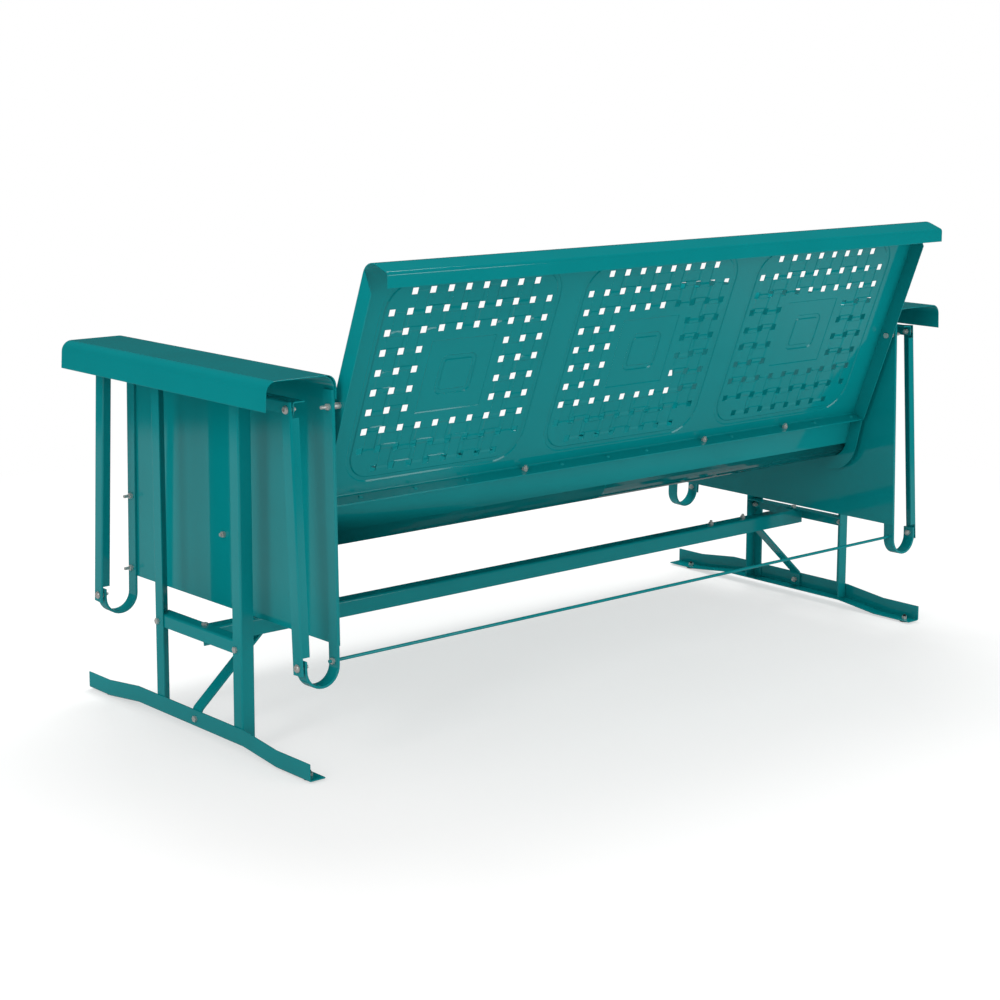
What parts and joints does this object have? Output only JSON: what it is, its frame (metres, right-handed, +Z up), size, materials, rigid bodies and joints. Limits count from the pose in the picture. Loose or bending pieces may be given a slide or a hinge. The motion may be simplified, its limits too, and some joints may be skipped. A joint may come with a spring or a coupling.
{
  "type": "glider bench",
  "caption": "Pressed-steel porch glider: a perforated seat and back with rolled arms, hung by links from a standing angle-iron frame so that it swings fore and aft.",
  "frame": {"origin": "on the floor, midway along the width and midway between the foremost and the rearmost point, at rest", "axes": "+Z up, +X towards the left hand of someone sitting, who faces -Y"},
  "size_m": [1.74, 0.812, 0.87],
  "materials": {
    "sheet_paint": "gloss teal powder coat on pressed sheet",
    "bar_paint": "gloss teal powder coat on flat bar",
    "frame_paint": "gloss teal powder coat on rolled angle",
    "rivet_paint": "gloss teal powder coat over steel rivets",
    "zinc": "bright zinc plate",
    "glide": "black moulded plastic"
  },
  "bodies": {
    "base": {"left_foot_rail": "frame_paint", "right_foot_rail": "frame_paint", "foot_glides": "glide", "glide_nuts": "zinc", "left_front_leg": "frame_paint", "right_front_leg": "frame_paint", "left_rear_leg": "frame_paint", "right_rear_leg": "frame_paint", "left_cross_rail": "frame_paint", "right_cross_rail": "frame_paint", "left_top_rail": "frame_paint", "right_top_rail": "frame_paint", "stretcher": "frame_paint", "left_brace": "bar_paint", "right_brace": "bar_paint", "leg_bolts": "zinc", "leg_nuts": "zinc", "stretcher_bolts": "zinc", "stretcher_nuts": "zinc", "brace_bolts": "zinc", "brace_nuts": "zinc", "upper_pivot_bolts": "zinc", "upper_pivot_nuts": "zinc", "upper_pivot_bushes": "zinc"},
    "rear_links": {"left_rear_link": "frame_paint", "right_rear_link": "frame_paint"},
    "front_links": {"left_front_link": "frame_paint", "right_front_link": "frame_paint"},
    "glider": {"back_panel": "sheet_paint", "seat_panel": "sheet_paint", "left_arm_cap": "sheet_paint", "right_arm_cap": "sheet_paint", "left_side_panel": "sheet_paint", "right_side_panel": "sheet_paint", "left_front_hanger": "bar_paint", "right_front_hanger": "bar_paint", "left_rear_hanger": "bar_paint", "right_rear_hanger": "bar_paint", "tie_rod": "bar_paint", "tie_rod_nuts": "zinc", "hanger_bolts": "zinc", "hanger_nuts": "zinc", "side_bolts": "zinc", "side_nuts": "zinc", "spacer_sleeves": "zinc", "seam_bolts": "zinc", "seam_nuts": "zinc", "seam_rivets": "rivet_paint", "lower_pivot_bolts": "zinc", "lower_pivot_nuts": "zinc", "lower_pivot_bushes": "zinc"}
  },
  "joints": [
    {"name": "rear_link_swing", "type": "hinge", "parent": "base", "child": "rear_links", "pos_m": [0, 0.256, 0.626], "axis": [1, 0, 0], "range_deg": [-9, 9]},
    {"name": "glider_hang", "type": "hinge", "parent": "rear_links", "child": "glider", "pos_m": [0, 0.281, 0.194], "axis": [1, 0, 0], "range_deg": [-8.4, 8.4]},
    {"name": "front_link_swing", "type": "hinge", "parent": "base", "child": "front_links", "pos_m": [0, -0.336, 0.626], "axis": [1, 0, 0], "range_deg": [-9, 9]}
  ],
  "couplings": [
    {"joint": "glider_hang", "follows": "rear_link_swing", "ratio": -0.9225},
    {"joint": "front_link_swing", "follows": "rear_link_swing", "ratio": 1}
  ]
}
